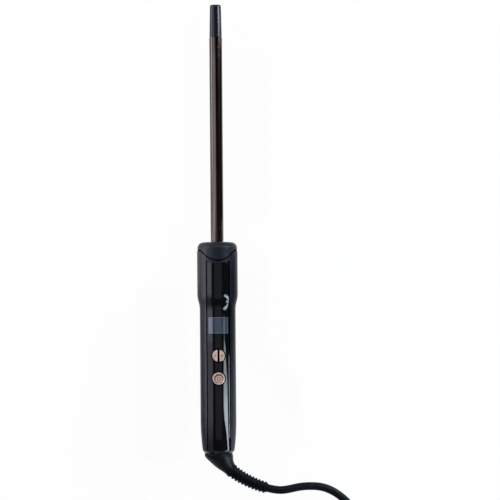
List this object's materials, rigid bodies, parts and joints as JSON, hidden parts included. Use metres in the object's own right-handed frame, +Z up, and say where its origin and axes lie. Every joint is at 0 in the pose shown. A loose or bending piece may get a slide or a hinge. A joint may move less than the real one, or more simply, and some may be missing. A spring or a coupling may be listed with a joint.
{
  "type": "curling wand",
  "caption": "Slim clampless curling wand: thin heated barrel with cool tip, handle with display and press buttons, swivel cord elbow, and a put-away cord with a flat plug.",
  "frame": {"origin": "on the flat back of the handle, half way along the handle, under the wand's axis", "axes": "+Y along the barrel towards the tip, +Z up out of the front with the display and buttons, +X to the right seen from the front"},
  "size_m": [0.1582, 0.5979, 0.0292],
  "materials": {
    "barrel_coat": "satin metallic ceramic coat",
    "grey_plastic": "fine matte",
    "fascia_gloss": "piano gloss",
    "display_grey": "clear gloss over a grey display",
    "display_module": "matte",
    "rose_metal": "satin rose-gold metallic",
    "boot_rubber": "satin",
    "cord_jacket": "smooth satin",
    "plug_plastic": "satin",
    "pin_metal": "nickel plated, polished",
    "tie_plastic": "matte",
    "ceramic": "matte",
    "heat_proof": "matte, glass filled",
    "clamp_metal": "as extruded",
    "steel": "zinc plated",
    "circuit_board": "green mask",
    "electronics": "moulded",
    "inner_plastic": "moulded",
    "spindle_plastic": "moulded, black",
    "contact_brass": "bright",
    "lead_sleeve": "silicone sleeve"
  },
  "bodies": {
    "cord_set": {"swivel_spindle": "spindle_plastic", "swivel_clip": "steel", "slip_rings": "contact_brass", "swivel_elbow": "boot_rubber", "strain_relief": "boot_rubber", "cord_inner": "cord_jacket", "cord_cores": "lead_sleeve", "cord_run": "cord_jacket", "cord_coil": "cord_jacket", "cord_tie": "tie_plastic", "cord_tail": "cord_jacket", "plug_relief": "cord_jacket", "plug_body": "plug_plastic", "plug_pins": "pin_metal"},
    "wand": {"barrel_tube": "barrel_coat", "cool_tip": "grey_plastic", "heater_plate": "ceramic", "heater_clamps": "clamp_metal", "temperature_sensor": "ceramic", "heater_leads": "lead_sleeve", "sensor_leads": "lead_sleeve", "barrel_holder": "heat_proof", "barrel_screws": "steel", "nose_cap": "grey_plastic", "front_shell": "grey_plastic", "rear_shell": "grey_plastic", "fascia_panel": "fascia_gloss", "display_lens": "display_grey", "display_module": "display_module", "display_stand": "display_module", "control_board": "circuit_board", "board_parts": "electronics", "board_screws": "steel", "case_screws": "steel", "tact_switches": "electronics", "tail_ring": "grey_plastic", "brush_holder": "inner_plastic", "contact_brushes": "contact_brass", "supply_leads": "lead_sleeve"},
    "power_key": {"power_button": "rose_metal", "power_plunger": "inner_plastic"},
    "temp_down_key": {"temp_down_button": "rose_metal", "temp_down_plunger": "inner_plastic"},
    "temp_up_key": {"temp_up_button": "rose_metal", "temp_up_plunger": "inner_plastic"}
  },
  "joints": [
    {"name": "cord_swivel", "type": "hinge", "parent": "cord_set", "child": "wand", "pos_m": [0, -0.0868, 0.0126], "axis": [0, 1, 0], "continuous": true},
    {"name": "power_press", "type": "slide", "parent": "wand", "child": "power_key", "axis": [0, 0, -1], "range_m": [0, 0.0005], "stiffness_N_per_m": 4000},
    {"name": "temp_down_press", "type": "slide", "parent": "wand", "child": "temp_down_key", "axis": [0, 0, -1], "range_m": [0, 0.0005], "stiffness_N_per_m": 4000},
    {"name": "temp_up_press", "type": "slide", "parent": "wand", "child": "temp_up_key", "axis": [0, 0, -1], "range_m": [0, 0.0005], "stiffness_N_per_m": 4000}
  ]
}
